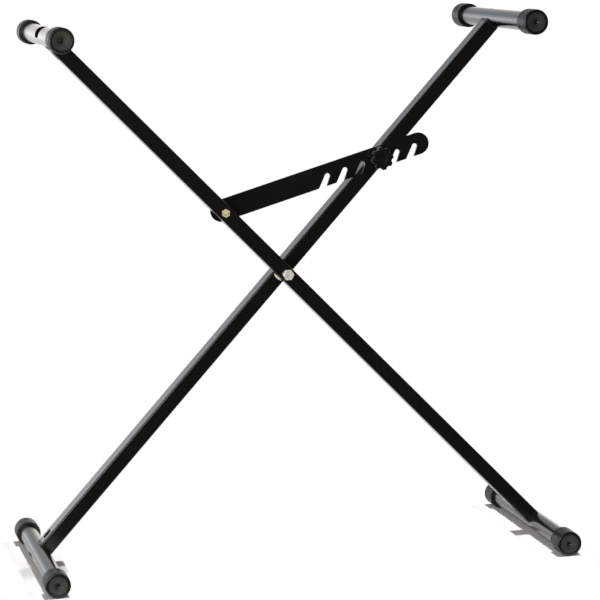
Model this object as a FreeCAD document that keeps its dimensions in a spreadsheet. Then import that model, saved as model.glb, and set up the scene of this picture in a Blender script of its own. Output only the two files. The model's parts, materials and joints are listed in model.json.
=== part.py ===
import FreeCAD, Part
import Sketcher
import math
import os

# Folding keyboard stand with one pair of crossing arms.
#
# Two rectangular steel tubes cross at one bolt. Each end of each tube carries a round
# cross bar with a rubber cap on both of its ends: the upper pair of bars holds the
# keyboard, the lower pair stands on the floor. A slotted plate turns on the front arm
# and hooks over a stud in the rear arm, where a star knob clamps it.
#
# Axes: X runs from the left rest bar to the right one, Y runs back through the stand
# and Z is up. The origin is on the floor, under the main pivot and midway along the bars.

# Driving dimensions, in millimetres and degrees.
SIZES = {
    # Arms: rectangular steel tube, the narrow face to the front.
    "arm_width": 20.0,
    "arm_depth": 30.0,
    "arm_wall": 1.2,
    "arm_corner": 2.0,
    "arm_gap": 6.0,
    "upper_reach": 457.0,
    "lower_reach": 507.0,
    "half_opening": 43.2,
    "window_length": 13.0,
    "window_depth": 14.0,
    "window_corner": 1.5,
    "window_reach": 27.0,
    # Cross bars: round steel tube with a rubber cap on each end.
    "bar_diameter": 25.4,
    "bar_wall": 1.2,
    "overall_depth": 350.0,
    "access_length": 40.0,
    "access_width": 20.0,
    "access_corner": 9.5,
    "cap_diameter": 33.5,
    "cap_length": 33.0,
    "cap_end": 5.0,
    "cap_edge": 2.0,
    "cap_rim": 2.2,
    "cap_dish": 1.6,
    "cap_pip_diameter": 6.0,
    "cap_pip_depth": 1.4,
    # Saddle blocks: moulded plugs between the square arms and the round bars.
    "saddle_floor": 1.5,
    "saddle_flange": 5.2,
    "saddle_depth": 24.0,
    "saddle_fit": 0.15,
    # Fasteners of the cross bars.
    "bar_bolt_diameter": 6.0,
    "bar_bolt_length": 25.0,
    "bar_bolt_flats": 10.0,
    "bar_bolt_head": 4.0,
    "bar_washer_diameter": 13.0,
    "bar_washer_height": 2.5,
    "nut_height": 5.0,
    # Main pivot.
    "pivot_diameter": 8.0,
    "pivot_flats": 13.0,
    "pivot_head": 5.3,
    "pivot_washer_diameter": 16.0,
    "pivot_washer_height": 1.6,
    "lock_nut_height": 8.0,
    "lock_nut_collar": 2.2,
    "pivot_end": 3.0,
    "sleeve_wall": 2.0,
    "gap_washer_diameter": 24.0,
    "gap_washer_height": 1.5,
    "spacer_diameter": 20.0,
    # Locking plate.
    "plate_width": 30.0,
    "plate_thickness": 3.0,
    "plate_pivot_reach": 121.0,
    "plate_pivot_diameter": 6.0,
    "plate_bolt_head_diameter": 12.0,
    "plate_bolt_head": 2.6,
    "plate_bolt_end": 2.0,
    "plate_nut_flats": 10.0,
    "plate_washer_diameter": 14.0,
    "plate_end_margin": 6.0,
    "slot_pitch": 25.7,
    "slot_width": 7.0,
    "slot_drop": 1.7,
    "slot_pivot_side_angle": 48.5,
    "slot_free_side_angle": 54.2,
    "slot_corner": 2.5,
    # Stud and star knob on the rear arm.
    "stud_reach": 205.0,
    "stud_diameter": 6.0,
    "stud_flats": 10.0,
    "stud_head": 4.0,
    "stud_length": 46.0,
    "stud_washer_diameter": 14.0,
    "stud_washer_height": 1.2,
    "clamp_washer_diameter": 18.0,
    "clamp_washer_height": 1.6,
    "clamp_clearance": 0.3,
    "knob_diameter": 32.0,
    "knob_height": 11.0,
    "knob_boss_diameter": 17.0,
    "knob_boss_height": 3.0,
    "knob_scallop_diameter": 8.5,
    "knob_scallop_depth": 2.4,
    "knob_edge": 1.8,
    "knob_dish_diameter": 17.0,
    "knob_dish_depth": 1.0,
    "insert_diameter": 9.0,
    "insert_length": 10.0,
    # Clearances.
    "running_fit": 0.08,
    "hole_fit": 0.25,
    "push_fit": 0.05,
}

# Counts of what repeats.
SLOT_COUNT = 6
LOCKED_SLOT = 4
KNOB_LOBES = 8

# A fillet needs a sliver of flat to start from, so a round end stops just short of full.
ROUND_END = 0.999

FRONT = -1
REAR = 1


class Size:
    """A number together with the sheet expression that it comes from."""

    def __init__(self, number, text):
        self.number = number
        self.text = text

    def _join(self, other, sign, number):
        text = other.text if isinstance(other, Size) else repr(float(other))
        return Size(number, "(%s %s %s)" % (self.text, sign, text))

    def __add__(self, other):
        return self._join(other, "+", self.number + number_of(other))

    def __sub__(self, other):
        return self._join(other, "-", self.number - number_of(other))

    def __mul__(self, other):
        return self._join(other, "*", self.number * number_of(other))

    def __truediv__(self, other):
        return self._join(other, "/", self.number / number_of(other))

    def __neg__(self):
        return Size(-self.number, "(0 - %s)" % self.text)


def number_of(value):
    return value.number if isinstance(value, Size) else float(value)


def root(value):
    return Size(math.sqrt(value.number), "sqrt(%s)" % value.text)


def sine(angle):
    return Size(math.sin(math.radians(angle.number)), "sin(%s)" % angle.text)


def cosine(angle):
    return Size(math.cos(math.radians(angle.number)), "cos(%s)" % angle.text)


# ---------------------------------------------------------------------------
# The document and its sheet of driving dimensions
# ---------------------------------------------------------------------------

doc = FreeCAD.newDocument("keyboard_stand")
sheet = doc.addObject("Spreadsheet::Sheet", "sizes")
for row, (alias, value) in enumerate(SIZES.items(), start=1):
    sheet.set("A%d" % row, alias)
    sheet.set("B%d" % row, str(value))
    sheet.setAlias("B%d" % row, alias)
doc.recompute()

size = {alias: Size(value, "sizes.%s" % alias) for alias, value in SIZES.items()}

subparts = []


# ---------------------------------------------------------------------------
# Sketch and feature helpers
# ---------------------------------------------------------------------------

def new_body(label, placement):
    body = doc.addObject("PartDesign::Body", label)
    body.Label = label
    body.Placement = placement
    subparts.append(body)
    return body


def bind(feature, prop, value):
    """Tie one property of a feature to the sheet."""
    if isinstance(value, Size):
        feature.setExpression(prop, value.text)
    else:
        setattr(feature, prop, value)


def new_sketch(body, name, role, offset=None):
    """A sketch on one of the body's own origin planes, moved along its normal by offset."""
    sketch = body.newObject("Sketcher::SketchObject", name)
    plane = [item for item in body.Origin.OriginFeatures if item.Role == role][0]
    sketch.AttachmentSupport = [(plane, "")]
    sketch.MapMode = "FlatFace"
    if offset is not None:
        sketch.setExpression("AttachmentOffset.Base.z", offset.text)
    return sketch


def tie(sketch, kind, value, *where):
    """Add one dimension to a sketch and bind it to the sheet."""
    index = sketch.addConstraint(Sketcher.Constraint(kind, *where, abs(number_of(value))))
    sketch.renameConstraint(index, "c%d" % index)
    if isinstance(value, Size):
        sketch.setExpression("Constraints.c%d" % index, "abs(%s)" % value.text)


def pin(sketch, geo, pos, x, y):
    """Hold one point of the sketch at the distances x and y from its origin."""
    for kind, axis, value in (("DistanceX", -2, x), ("DistanceY", -1, y)):
        amount = number_of(value)
        if amount == 0:
            sketch.addConstraint(Sketcher.Constraint("PointOnObject", geo, pos, axis))
        elif amount > 0:
            tie(sketch, kind, value, -1, 1, geo, pos)
        else:
            tie(sketch, kind, value, geo, pos, -1, 1)


def draw_circle(sketch, diameter, x=0, y=0):
    centre = FreeCAD.Vector(number_of(x), number_of(y), 0)
    circle = Part.Circle(centre, FreeCAD.Vector(0, 0, 1), number_of(diameter) / 2)
    geo = sketch.addGeometry(circle)
    tie(sketch, "Diameter", diameter, geo)
    if number_of(x) == 0 and number_of(y) == 0:
        sketch.addConstraint(Sketcher.Constraint("Coincident", geo, 3, -1, 1))
    else:
        pin(sketch, geo, 3, x, y)


def draw_outline(sketch, points):
    """A closed outline of straight lines through the given corners."""
    places = [FreeCAD.Vector(number_of(x), number_of(y), 0) for x, y in points]
    following_places = places[1:] + places[:1]
    lines = [sketch.addGeometry(Part.LineSegment(start, end))
             for start, end in zip(places, following_places)]
    for line, following, point in zip(lines, lines[1:] + lines[:1], points):
        sketch.addConstraint(Sketcher.Constraint("Coincident", line, 2, following, 1))
        pin(sketch, line, 1, *point)


def span(middle, length):
    """The two ends of a length laid evenly about its middle."""
    half = length / 2
    if isinstance(middle, Size):
        return middle - half, middle + half
    return -half, half


def draw_rounded_rectangle(sketch, width, height, corner, x=0, y=0):
    """An upright rectangle with rounded corners and its middle at (x, y)."""
    left, right = span(x, width)
    low, high = span(y, height)
    centres = [(right - corner, high - corner), (left + corner, high - corner),
               (left + corner, low + corner), (right - corner, low + corner)]
    quarter = math.pi / 2
    arcs = []
    for index, (across, up) in enumerate(centres):
        middle = FreeCAD.Vector(number_of(across), number_of(up), 0)
        circle = Part.Circle(middle, FreeCAD.Vector(0, 0, 1), number_of(corner))
        arc = Part.ArcOfCircle(circle, index * quarter, (index + 1) * quarter)
        arcs.append(sketch.addGeometry(arc))
    for index, arc in enumerate(arcs):
        following = arcs[(index + 1) % len(arcs)]
        ends = sketch.Geometry[arc].EndPoint, sketch.Geometry[following].StartPoint
        side = sketch.addGeometry(Part.LineSegment(*ends))
        sketch.addConstraint(Sketcher.Constraint("Tangent", arc, 2, side, 1))
        sketch.addConstraint(Sketcher.Constraint("Tangent", side, 2, following, 1))
    for arc, (across, up) in zip(arcs, centres):
        tie(sketch, "Radius", corner, arc)
        pin(sketch, arc, 3, across, up)


def pad(body, name, sketch, length, symmetric=False, reverse=False):
    feature = body.newObject("PartDesign::Pad", name)
    feature.Profile = sketch
    bind(feature, "Length", length)
    feature.SideType = "Symmetric" if symmetric else "One side"
    feature.Reversed = reverse
    return finish(body, feature)


def pocket(body, name, sketch, length=None, symmetric=False, reverse=False):
    """Cut the sketch's outline: to a length, or through all where none is given."""
    feature = body.newObject("PartDesign::Pocket", name)
    feature.Profile = sketch
    feature.SideType = "Symmetric" if symmetric else "One side"
    if length is None:
        feature.Type = "ThroughAll"
    else:
        bind(feature, "Length", length)
    feature.Reversed = reverse
    return finish(body, feature)


def revolve(body, name, sketch):
    """Turn the sketch once round its own horizontal axis."""
    feature = body.newObject("PartDesign::Revolution", name)
    feature.Profile = sketch
    feature.ReferenceAxis = (sketch, ["H_Axis"])
    feature.Angle = 360
    return finish(body, feature)


def round_edges(body, name, base, radius, wanted, kind="PartDesign::Fillet"):
    """Fillet or chamfer the edges of a feature that the test picks."""
    names = ["Edge%d" % (i + 1) for i, edge in enumerate(base.Shape.Edges) if wanted(edge)]
    feature = body.newObject(kind, name)
    feature.Base = (base, names)
    bind(feature, "Radius" if kind == "PartDesign::Fillet" else "Size", radius)
    return finish(body, feature)


def polar_copies(body, name, originals, axis_role, count):
    feature = body.newObject("PartDesign::PolarPattern", name)
    feature.Originals = originals
    axis = [item for item in body.Origin.OriginFeatures if item.Role == axis_role][0]
    feature.Axis = (axis, [""])
    feature.Angle = 360
    feature.Occurrences = count
    body.Tip = feature
    return finish(body, feature)


def row_copies(body, name, originals, axis_role, step, count):
    feature = body.newObject("PartDesign::LinearPattern", name)
    feature.Originals = originals
    axis = [item for item in body.Origin.OriginFeatures if item.Role == axis_role][0]
    feature.Direction = (axis, [""])
    feature.Mode = "Spacing"
    feature.setExpression("Offset", step.text)
    feature.Occurrences = count
    body.Tip = feature
    return finish(body, feature)


def finish(body, feature):
    """Compute the new feature and stop if it failed or changed nothing."""
    before = body.Shape.Volume if body.Shape and not body.Shape.isNull() else 0.0
    doc.recompute()
    where = "%s of %s" % (feature.Name, body.Label)
    if "Invalid" in feature.State or "Error" in feature.State:
        raise RuntimeError("%s failed" % where)
    if abs(body.Shape.Volume - before) < 1e-6:
        raise RuntimeError("%s changed nothing" % where)
    return feature


def runs_along(axis):
    """A test for straight edges that run along one axis of the body."""
    def test(edge):
        if not isinstance(edge.Curve, Part.Line):
            return False
        return abs(abs(edge.Curve.Direction.dot(axis)) - 1) < 1e-6
    return test


def rod(name, diameter, height, start, along="y"):
    """A cylinder along Y or Z. It begins at start and runs on by height."""
    cylinder = doc.addObject("Part::Cylinder", name)
    cylinder.setExpression("Radius", (diameter / 2).text)
    return lay(cylinder, height, start, along)


def hexagon(name, flats, height, start, along="y"):
    """A hexagonal prism along Y or Z, with two of its corners on the X axis."""
    prism = doc.addObject("Part::Prism", name)
    prism.Polygon = 6
    prism.setExpression("Circumradius", (flats / math.sqrt(3)).text)
    return lay(prism, height, start, along)


def lay(primitive, height, start, along):
    """Give a primitive its height and its place on the axis."""
    primitive.setExpression("Height", height.text)
    if along == "y":
        primitive.Placement.Rotation = FreeCAD.Rotation(FreeCAD.Vector(1, 0, 0), -90)
    primitive.setExpression("Placement.Base.%s" % along, start.text)
    return primitive


def combine(label, frame, joined, removed=(), kept_inside=None):
    """One sub-part from primitives: joined, trimmed to a form and then cut."""
    solid = joined[0]
    if len(joined) > 1:
        solid = doc.addObject("Part::MultiFuse", label + "_joined")
        solid.Shapes = joined
    if kept_inside is not None:
        common = doc.addObject("Part::Common", label + "_trimmed")
        common.Base = solid
        common.Tool = kept_inside
        solid = common
    for index, tool in enumerate(removed):
        cut = doc.addObject("Part::Cut", "%s_cut%d" % (label, index))
        cut.Base = solid
        cut.Tool = tool
        solid = cut
    solid.Label = label
    solid.Placement = frame
    subparts.append(solid)
    return solid


def ring(label, frame, outer, bore, start, height):
    """A washer, sleeve or spacer: a disc along Y with a round hole."""
    disc = rod(label + "_disc", outer, height, start)
    hole = rod(label + "_hole", bore, height, start)
    return combine(label, frame, [disc], [hole])


# ---------------------------------------------------------------------------
# Frames: every sub-part is drawn in the frame of the arm or arm end that carries it
# ---------------------------------------------------------------------------

ALONG_Y = FreeCAD.Vector(0, 1, 0)
ALONG_Z = FreeCAD.Vector(0, 0, 1)


def shift(x, y, z):
    return FreeCAD.Placement(FreeCAD.Vector(number_of(x), number_of(y), number_of(z)),
                             FreeCAD.Rotation())


def turn(axis, angle):
    return FreeCAD.Placement(FreeCAD.Vector(), FreeCAD.Rotation(axis, number_of(angle)))


pivot_height = size["lower_reach"] * cosine(size["half_opening"]) + size["cap_diameter"] / 2

# An arm's frame has its origin on the main pivot and its Z axis up along the arm.
front_frame = shift(0, 0, pivot_height) * turn(ALONG_Y, -size["half_opening"])
rear_frame = shift(0, 0, pivot_height) * turn(ALONG_Y, size["half_opening"])

# An end's frame has its origin in the middle of the cross bar and its Z axis outwards.
upper_end = shift(0, 0, size["upper_reach"])
lower_end = shift(0, 0, -size["lower_reach"]) * turn(ALONG_Y, 180)
END_FRAMES = {
    "left_rest": (FRONT, front_frame * upper_end, -1),
    "right_rest": (REAR, rear_frame * upper_end, 1),
    "left_foot": (REAR, rear_frame * lower_end, 1),
    "right_foot": (FRONT, front_frame * lower_end, 1),
}


def arm_middle(side):
    """How far behind the middle of the stand the middle of an arm lies."""
    return (size["arm_gap"] + size["arm_depth"]) / 2 * side


# Faces of the two arms, from front to back.
front_arm_face = -(size["arm_gap"] / 2 + size["arm_depth"])
front_arm_back = -(size["arm_gap"] / 2)
rear_arm_face = size["arm_gap"] / 2
rear_arm_back = size["arm_gap"] / 2 + size["arm_depth"]
sleeve_length = size["arm_depth"] - size["arm_wall"] * 2


# ---------------------------------------------------------------------------
# Arms
# ---------------------------------------------------------------------------

arm_end_gap = size["bar_diameter"] / 2 + size["saddle_floor"]


def make_arm(label, side, frame, holes, windows):
    """A rectangular tube with drilled bolt holes and a nut window near each end."""
    body = new_body(label, frame)
    middle = arm_middle(side)
    section = new_sketch(body, "section", "XY_Plane", -(size["lower_reach"] - arm_end_gap))
    draw_rounded_rectangle(section, size["arm_width"], size["arm_depth"],
                           size["arm_corner"], 0, middle)
    walls = size["arm_wall"] * 2
    draw_rounded_rectangle(section, size["arm_width"] - walls, size["arm_depth"] - walls,
                           size["arm_corner"] - size["arm_wall"], 0, middle)
    pad(body, "tube", section,
        size["upper_reach"] + size["lower_reach"] - arm_end_gap * 2)

    for name, diameter, height in holes:
        sketch = new_sketch(body, name + "_circle", "XZ_Plane")
        draw_circle(sketch, diameter + size["hole_fit"] * 2, 0, height)
        pocket(body, name, sketch, symmetric=True)

    for name, height, towards in windows:
        sketch = new_sketch(body, name + "_outline", "YZ_Plane")
        draw_rounded_rectangle(sketch, size["window_depth"], size["window_length"],
                               size["window_corner"], middle, height)
        pocket(body, name, sketch, size["arm_width"], reverse=towards > 0)


upper_window = size["upper_reach"] - size["window_reach"]
lower_window = -(size["lower_reach"] - size["window_reach"])
make_arm("front_arm", FRONT, front_frame,
         [("pivot_hole", size["pivot_diameter"], 0),
          ("plate_hole", size["plate_pivot_diameter"], size["plate_pivot_reach"])],
         [("upper_window", upper_window, -1), ("lower_window", lower_window, -1)])
make_arm("rear_arm", REAR, rear_frame,
         [("pivot_hole", size["pivot_diameter"], 0),
          ("stud_hole", size["stud_diameter"], size["stud_reach"])],
         [("upper_window", upper_window, 1), ("lower_window", lower_window, -1)])


# ---------------------------------------------------------------------------
# Cross bars, their caps and what bolts them to the arms
# ---------------------------------------------------------------------------

bar_inside = size["bar_diameter"] - size["bar_wall"] * 2
bar_length = size["overall_depth"] - size["cap_end"] * 2
bolt_seat = -(bar_inside / 2 - size["bar_washer_height"])


def make_bar(end, side, frame):
    """A round tube with a bolt hole towards the arm and an access opening outside."""
    body = new_body(end + "_bar", frame)
    section = new_sketch(body, "section", "XZ_Plane")
    draw_circle(section, size["bar_diameter"])
    draw_circle(section, bar_inside)
    pad(body, "tube", section, bar_length, symmetric=True)

    hole = new_sketch(body, "bolt_circle", "XY_Plane")
    draw_circle(hole, size["bar_bolt_diameter"] + size["hole_fit"] * 2, 0, arm_middle(side))
    pocket(body, "bolt_hole", hole, size["bar_diameter"])

    opening = new_sketch(body, "access_outline", "XY_Plane")
    draw_rounded_rectangle(opening, size["access_width"], size["access_length"],
                           size["access_corner"], 0, arm_middle(side))
    pocket(body, "access", opening, size["bar_diameter"], reverse=True)


def make_cap(label, frame):
    """A rubber cap turned about Y. Its dished outer face is at the frame's origin."""
    body = new_body(label, frame)
    outer = size["cap_diameter"] / 2
    bore = size["bar_diameter"] / 2 + size["push_fit"]
    rim = outer - size["cap_rim"] - size["cap_edge"]
    pip = size["cap_pip_diameter"] / 2
    dish = size["cap_dish"]
    pip_floor = dish + size["cap_pip_depth"]
    profile = new_sketch(body, "profile", "YZ_Plane")
    draw_outline(profile, [
        (pip_floor, 0), (pip_floor, pip), (dish, pip), (dish, rim - dish), (0, rim),
        (0, outer), (size["cap_length"], outer), (size["cap_length"], bore),
        (size["cap_end"], bore), (size["cap_end"], 0)])
    turned = revolve(body, "turned", profile)
    edge_radius = outer.number

    def is_outer_rim(edge):
        centre = getattr(edge.Curve, "Center", None)
        return (centre is not None and abs(centre.y) < 1e-6
                and abs(edge.Curve.Radius - edge_radius) < 1e-6)

    round_edges(body, "soft_edge", turned, size["cap_edge"], is_outer_rim,
                "PartDesign::Chamfer")


def make_saddle(end, side, frame, window_side):
    """A moulded plug: a hollowed flange under the bar and a spigot in the arm's end."""
    body = new_body(end + "_saddle", frame)
    middle = arm_middle(side)
    seat = -arm_end_gap
    flange = new_sketch(body, "flange_section", "XY_Plane", seat)
    draw_rounded_rectangle(flange, size["arm_width"], size["arm_depth"],
                           size["arm_corner"], 0, middle)
    pad(body, "flange", flange, size["saddle_flange"])

    spigot = new_sketch(body, "spigot_section", "XY_Plane", seat)
    slack = (size["arm_wall"] + size["saddle_fit"]) * 2
    draw_rounded_rectangle(spigot, size["arm_width"] - slack, size["arm_depth"] - slack,
                           size["arm_corner"] - size["arm_wall"], 0, middle)
    pad(body, "spigot", spigot, size["saddle_depth"], reverse=True)

    hollow = new_sketch(body, "bar_circle", "XZ_Plane")
    draw_circle(hollow, size["bar_diameter"] + size["push_fit"] * 2)
    pocket(body, "hollow", hollow, symmetric=True)

    hole = new_sketch(body, "bolt_circle", "XY_Plane")
    draw_circle(hole, size["bar_bolt_diameter"] + size["hole_fit"] * 2, 0, middle)
    pocket(body, "bolt_hole", hole)

    corner = size["bar_bolt_flats"] / math.sqrt(3) + size["saddle_fit"]
    start = -corner * window_side
    nest = new_sketch(body, "nut_outline", "YZ_Plane", start)
    room = size["saddle_fit"] * 2
    low, high = span(-size["window_reach"], size["nut_height"] + room)
    near, far = span(middle, size["bar_bolt_flats"] + room)
    draw_outline(nest, [(near, low), (far, low), (far, high), (near, high)])
    pocket(body, "nut_pocket", nest, size["arm_width"], reverse=window_side > 0)


def make_bar_fasteners(end, side, frame):
    """The bolt inside the bar, its curved washer and the nut in the saddle block."""
    place = frame * shift(0, arm_middle(side), 0)
    diameter = size["bar_bolt_diameter"]
    through = diameter + size["hole_fit"] * 2
    washer_low = -(bar_inside / 2)
    disc = rod(end + "_washer_disc", size["bar_washer_diameter"],
               size["bar_washer_height"], washer_low, "z")
    form = rod(end + "_washer_form", bar_inside - size["push_fit"] * 2,
               size["bar_washer_diameter"], -(size["bar_washer_diameter"] / 2))
    hole = rod(end + "_washer_hole", through, bar_inside, -bar_inside, "z")
    combine(end + "_washer", place, [disc], [hole], kept_inside=form)

    head = hexagon(end + "_bolt_head", size["bar_bolt_flats"], size["bar_bolt_head"],
                   bolt_seat, "z")
    shank = rod(end + "_bolt_shank", diameter, size["bar_bolt_length"],
                bolt_seat - size["bar_bolt_length"], "z")
    combine(end + "_bolt", place, [head, shank])

    low = -size["window_reach"] - size["nut_height"] / 2
    block = hexagon(end + "_nut_block", size["bar_bolt_flats"], size["nut_height"], low, "z")
    bore = rod(end + "_nut_bore", diameter + size["push_fit"] * 2,
               size["nut_height"], low, "z")
    combine(end + "_nut", place, [block], [bore])


for end, (side, frame, window_side) in END_FRAMES.items():
    make_bar(end, side, frame)
    half_depth = size["overall_depth"] / 2
    make_cap(end + "_cap_front", frame * shift(0, -half_depth, 0))
    make_cap(end + "_cap_rear", frame * shift(0, half_depth, 0) * turn(ALONG_Z, 180))
    make_saddle(end, side, frame, window_side)
    make_bar_fasteners(end, side, frame)


# ---------------------------------------------------------------------------
# Main pivot
# ---------------------------------------------------------------------------

pivot_bore = size["pivot_diameter"] + size["running_fit"] * 2
pivot_hole = size["pivot_diameter"] + size["hole_fit"] * 2
sleeve_diameter = size["pivot_diameter"] + (size["running_fit"] + size["sleeve_wall"]) * 2
spacer_length = size["arm_gap"] - size["gap_washer_height"] * 2
head_seat = front_arm_face - size["pivot_washer_height"]
nut_seat = rear_arm_back + size["pivot_washer_height"]

ring("pivot_front_washer", front_frame, size["pivot_washer_diameter"], pivot_hole,
     head_seat, size["pivot_washer_height"])
ring("front_arm_sleeve", front_frame, sleeve_diameter, pivot_bore,
     front_arm_face + size["arm_wall"], sleeve_length)
ring("gap_washer_front", front_frame, size["gap_washer_diameter"], pivot_hole,
     front_arm_back, size["gap_washer_height"])
ring("pivot_spacer", front_frame, size["spacer_diameter"], pivot_bore,
     front_arm_back + size["gap_washer_height"], spacer_length)
ring("gap_washer_rear", rear_frame, size["gap_washer_diameter"], pivot_hole,
     rear_arm_face - size["gap_washer_height"], size["gap_washer_height"])
ring("rear_arm_sleeve", rear_frame, sleeve_diameter, pivot_bore,
     rear_arm_face + size["arm_wall"], sleeve_length)
ring("pivot_rear_washer", front_frame, size["pivot_washer_diameter"], pivot_hole,
     rear_arm_back, size["pivot_washer_height"])

bolt_length = nut_seat + size["lock_nut_height"] + size["pivot_end"] - head_seat
combine("pivot_bolt", front_frame,
        [hexagon("pivot_head", size["pivot_flats"], size["pivot_head"],
                 head_seat - size["pivot_head"]),
         rod("pivot_shank", size["pivot_diameter"], bolt_length, head_seat)])

hex_height = size["lock_nut_height"] - size["lock_nut_collar"]
collar_diameter = size["pivot_flats"] - size["hole_fit"] * 4
combine("pivot_lock_nut", front_frame,
        [hexagon("lock_nut_hex", size["pivot_flats"], hex_height, nut_seat),
         rod("lock_nut_collar", collar_diameter, size["lock_nut_collar"],
             nut_seat + hex_height)],
        [rod("lock_nut_bore", size["pivot_diameter"] + size["push_fit"] * 2,
             size["lock_nut_height"], nut_seat)])


# ---------------------------------------------------------------------------
# Locking plate and the bolt that it turns on
# ---------------------------------------------------------------------------

angle_between_arms = size["half_opening"] * 2
plate_back = size["plate_thickness"] / 2
plate_front = -plate_back
plate_bore = size["plate_pivot_diameter"] + size["running_fit"] * 2
plate_pivot_frame = front_frame * shift(0, 0, size["plate_pivot_reach"])

# The stud is a fixed distance from the plate's pivot while the stand is locked open.
stud_distance_squared = (size["plate_pivot_reach"] * size["plate_pivot_reach"]
                         + size["stud_reach"] * size["stud_reach"]
                         - size["plate_pivot_reach"] * size["stud_reach"] * 2
                         * cosine(angle_between_arms))
locked_slot_at = root(stud_distance_squared - size["slot_drop"] * size["slot_drop"])
first_slot_at = locked_slot_at - size["slot_pitch"] * (LOCKED_SLOT - 1)
plate_span = first_slot_at + size["slot_pitch"] * (SLOT_COUNT - 1) + size["plate_end_margin"]


def plate_tilt():
    """The angle above level, in degrees, at which the locked plate lies."""
    stud = rear_frame * FreeCAD.Vector(0, 0, size["stud_reach"].number)
    pivot = plate_pivot_frame * FreeCAD.Vector(0, 0, 0)
    rise = math.degrees(math.atan2(stud.z - pivot.z, stud.x - pivot.x))
    drop = math.degrees(math.atan2(size["slot_drop"].number, locked_slot_at.number))
    return rise + drop


def slot_walls():
    """The corners of one slot below its round end, seen from the middle of that end."""
    radius = size["slot_width"] / 2
    # The walls run on past the plate's lower edge, so that the cut is open there.
    reach = size["plate_width"] / 2 - size["slot_drop"] + size["plate_thickness"]
    near = size["slot_pivot_side_angle"]
    far = size["slot_free_side_angle"]
    near_top = (-(radius * sine(near)), radius * cosine(near))
    far_top = (radius * sine(far), -(radius * cosine(far)))
    near_run = (near_top[1] + reach) / sine(near)
    far_run = (far_top[1] + reach) / sine(far)
    near_low = (near_top[0] - near_run * cosine(near), -reach)
    far_low = (far_top[0] - far_run * cosine(far), -reach)
    return [near_top, near_low, far_low, far_top]


def make_plate():
    """A flat steel bar with round ends, a pivot hole and a row of hooked slots."""
    pivot = (plate_pivot_frame * FreeCAD.Vector(0, 0, 0))
    body = new_body("locking_plate", shift(pivot.x, pivot.y, pivot.z)
                    * turn(ALONG_Y, -plate_tilt()))
    blank = new_sketch(body, "blank_outline", "XZ_Plane")
    half = size["plate_width"] / 2
    draw_outline(blank, [(-half, -half), (plate_span + half, -half),
                         (plate_span + half, half), (-half, half)])
    slab = pad(body, "blank", blank, size["plate_thickness"], symmetric=True)
    round_edges(body, "round_ends", slab, half * ROUND_END, runs_along(ALONG_Y))

    hole = new_sketch(body, "pivot_circle", "XZ_Plane")
    draw_circle(hole, plate_bore)
    pocket(body, "pivot_hole", hole, symmetric=True)

    round_top = new_sketch(body, "slot_circle", "XZ_Plane")
    draw_circle(round_top, size["slot_width"], first_slot_at, -size["slot_drop"])
    top = pocket(body, "slot_top", round_top, size["plate_width"], symmetric=True)
    throat = new_sketch(body, "slot_walls", "XZ_Plane")
    draw_outline(throat, [(first_slot_at + x, y - size["slot_drop"])
                          for x, y in slot_walls()])
    walls = pocket(body, "slot_throat", throat, size["plate_width"], symmetric=True)
    row = row_copies(body, "slot_row", [top, walls], "X_Axis", size["slot_pitch"],
                     SLOT_COUNT)

    # The corner of each mouth nearer the pivot is rounded; the other is a sharp tooth.
    near_top, near_low = slot_walls()[:2]
    share = ((near_top[1] - size["slot_drop"] + half)
             / (near_top[1] - near_low[1])).number
    corner_x = (first_slot_at + near_top[0]).number
    corner_x += share * (near_low[0] - near_top[0]).number
    pitch = size["slot_pitch"].number

    def is_mouth_corner(edge):
        point = edge.Vertexes[0].Point
        steps = (point.x - corner_x) / pitch
        return (runs_along(ALONG_Y)(edge) and abs(point.z + half.number) < 1e-4
                and abs(steps - round(steps)) < 1e-4 and round(steps) >= 0)

    round_edges(body, "mouth_corners", row, size["slot_corner"], is_mouth_corner)


make_plate()

ring("plate_washer", plate_pivot_frame, size["plate_washer_diameter"], plate_bore,
     front_arm_back, plate_front - front_arm_back)
ring("plate_pivot_sleeve", plate_pivot_frame,
     size["plate_pivot_diameter"] + (size["running_fit"] + size["sleeve_wall"]) * 2,
     plate_bore, front_arm_face + size["arm_wall"], sleeve_length)
plate_bolt_tip = front_arm_face - size["nut_height"] - size["plate_bolt_end"]
combine("plate_bolt", plate_pivot_frame,
        [rod("plate_bolt_head", size["plate_bolt_head_diameter"], size["plate_bolt_head"],
             plate_back),
         rod("plate_bolt_shank", size["plate_pivot_diameter"],
             plate_back - plate_bolt_tip, plate_bolt_tip)])
combine("plate_nut", plate_pivot_frame,
        [hexagon("plate_nut_block", size["plate_nut_flats"], size["nut_height"],
                 front_arm_face - size["nut_height"])],
        [rod("plate_nut_bore", size["plate_pivot_diameter"] + size["push_fit"] * 2,
             size["nut_height"], front_arm_face - size["nut_height"])])


# ---------------------------------------------------------------------------
# Stud, clamp washer and star knob
# ---------------------------------------------------------------------------

stud_frame = rear_frame * shift(0, 0, size["stud_reach"])
stud_hole = size["stud_diameter"] + size["hole_fit"] * 2
stud_bore = size["stud_diameter"] + size["running_fit"] * 2
clamp_face = plate_front - size["clamp_clearance"]
knob_seat = clamp_face - size["clamp_washer_height"]

combine("knob_stud", stud_frame,
        [hexagon("stud_head", size["stud_flats"], size["stud_head"], rear_arm_back),
         rod("stud_shank", size["stud_diameter"], size["stud_length"],
             rear_arm_back - size["stud_length"])])
ring("stud_sleeve", stud_frame,
     size["stud_diameter"] + (size["running_fit"] + size["sleeve_wall"]) * 2,
     stud_bore, rear_arm_face + size["arm_wall"], sleeve_length)
ring("stud_washer", stud_frame, size["stud_washer_diameter"], stud_bore,
     rear_arm_face - size["stud_washer_height"], size["stud_washer_height"])
ring("clamp_washer", stud_frame, size["clamp_washer_diameter"], stud_bore,
     knob_seat, size["clamp_washer_height"])
ring("knob_insert", stud_frame, size["insert_diameter"], stud_bore,
     knob_seat - size["insert_length"], size["insert_length"])


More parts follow.
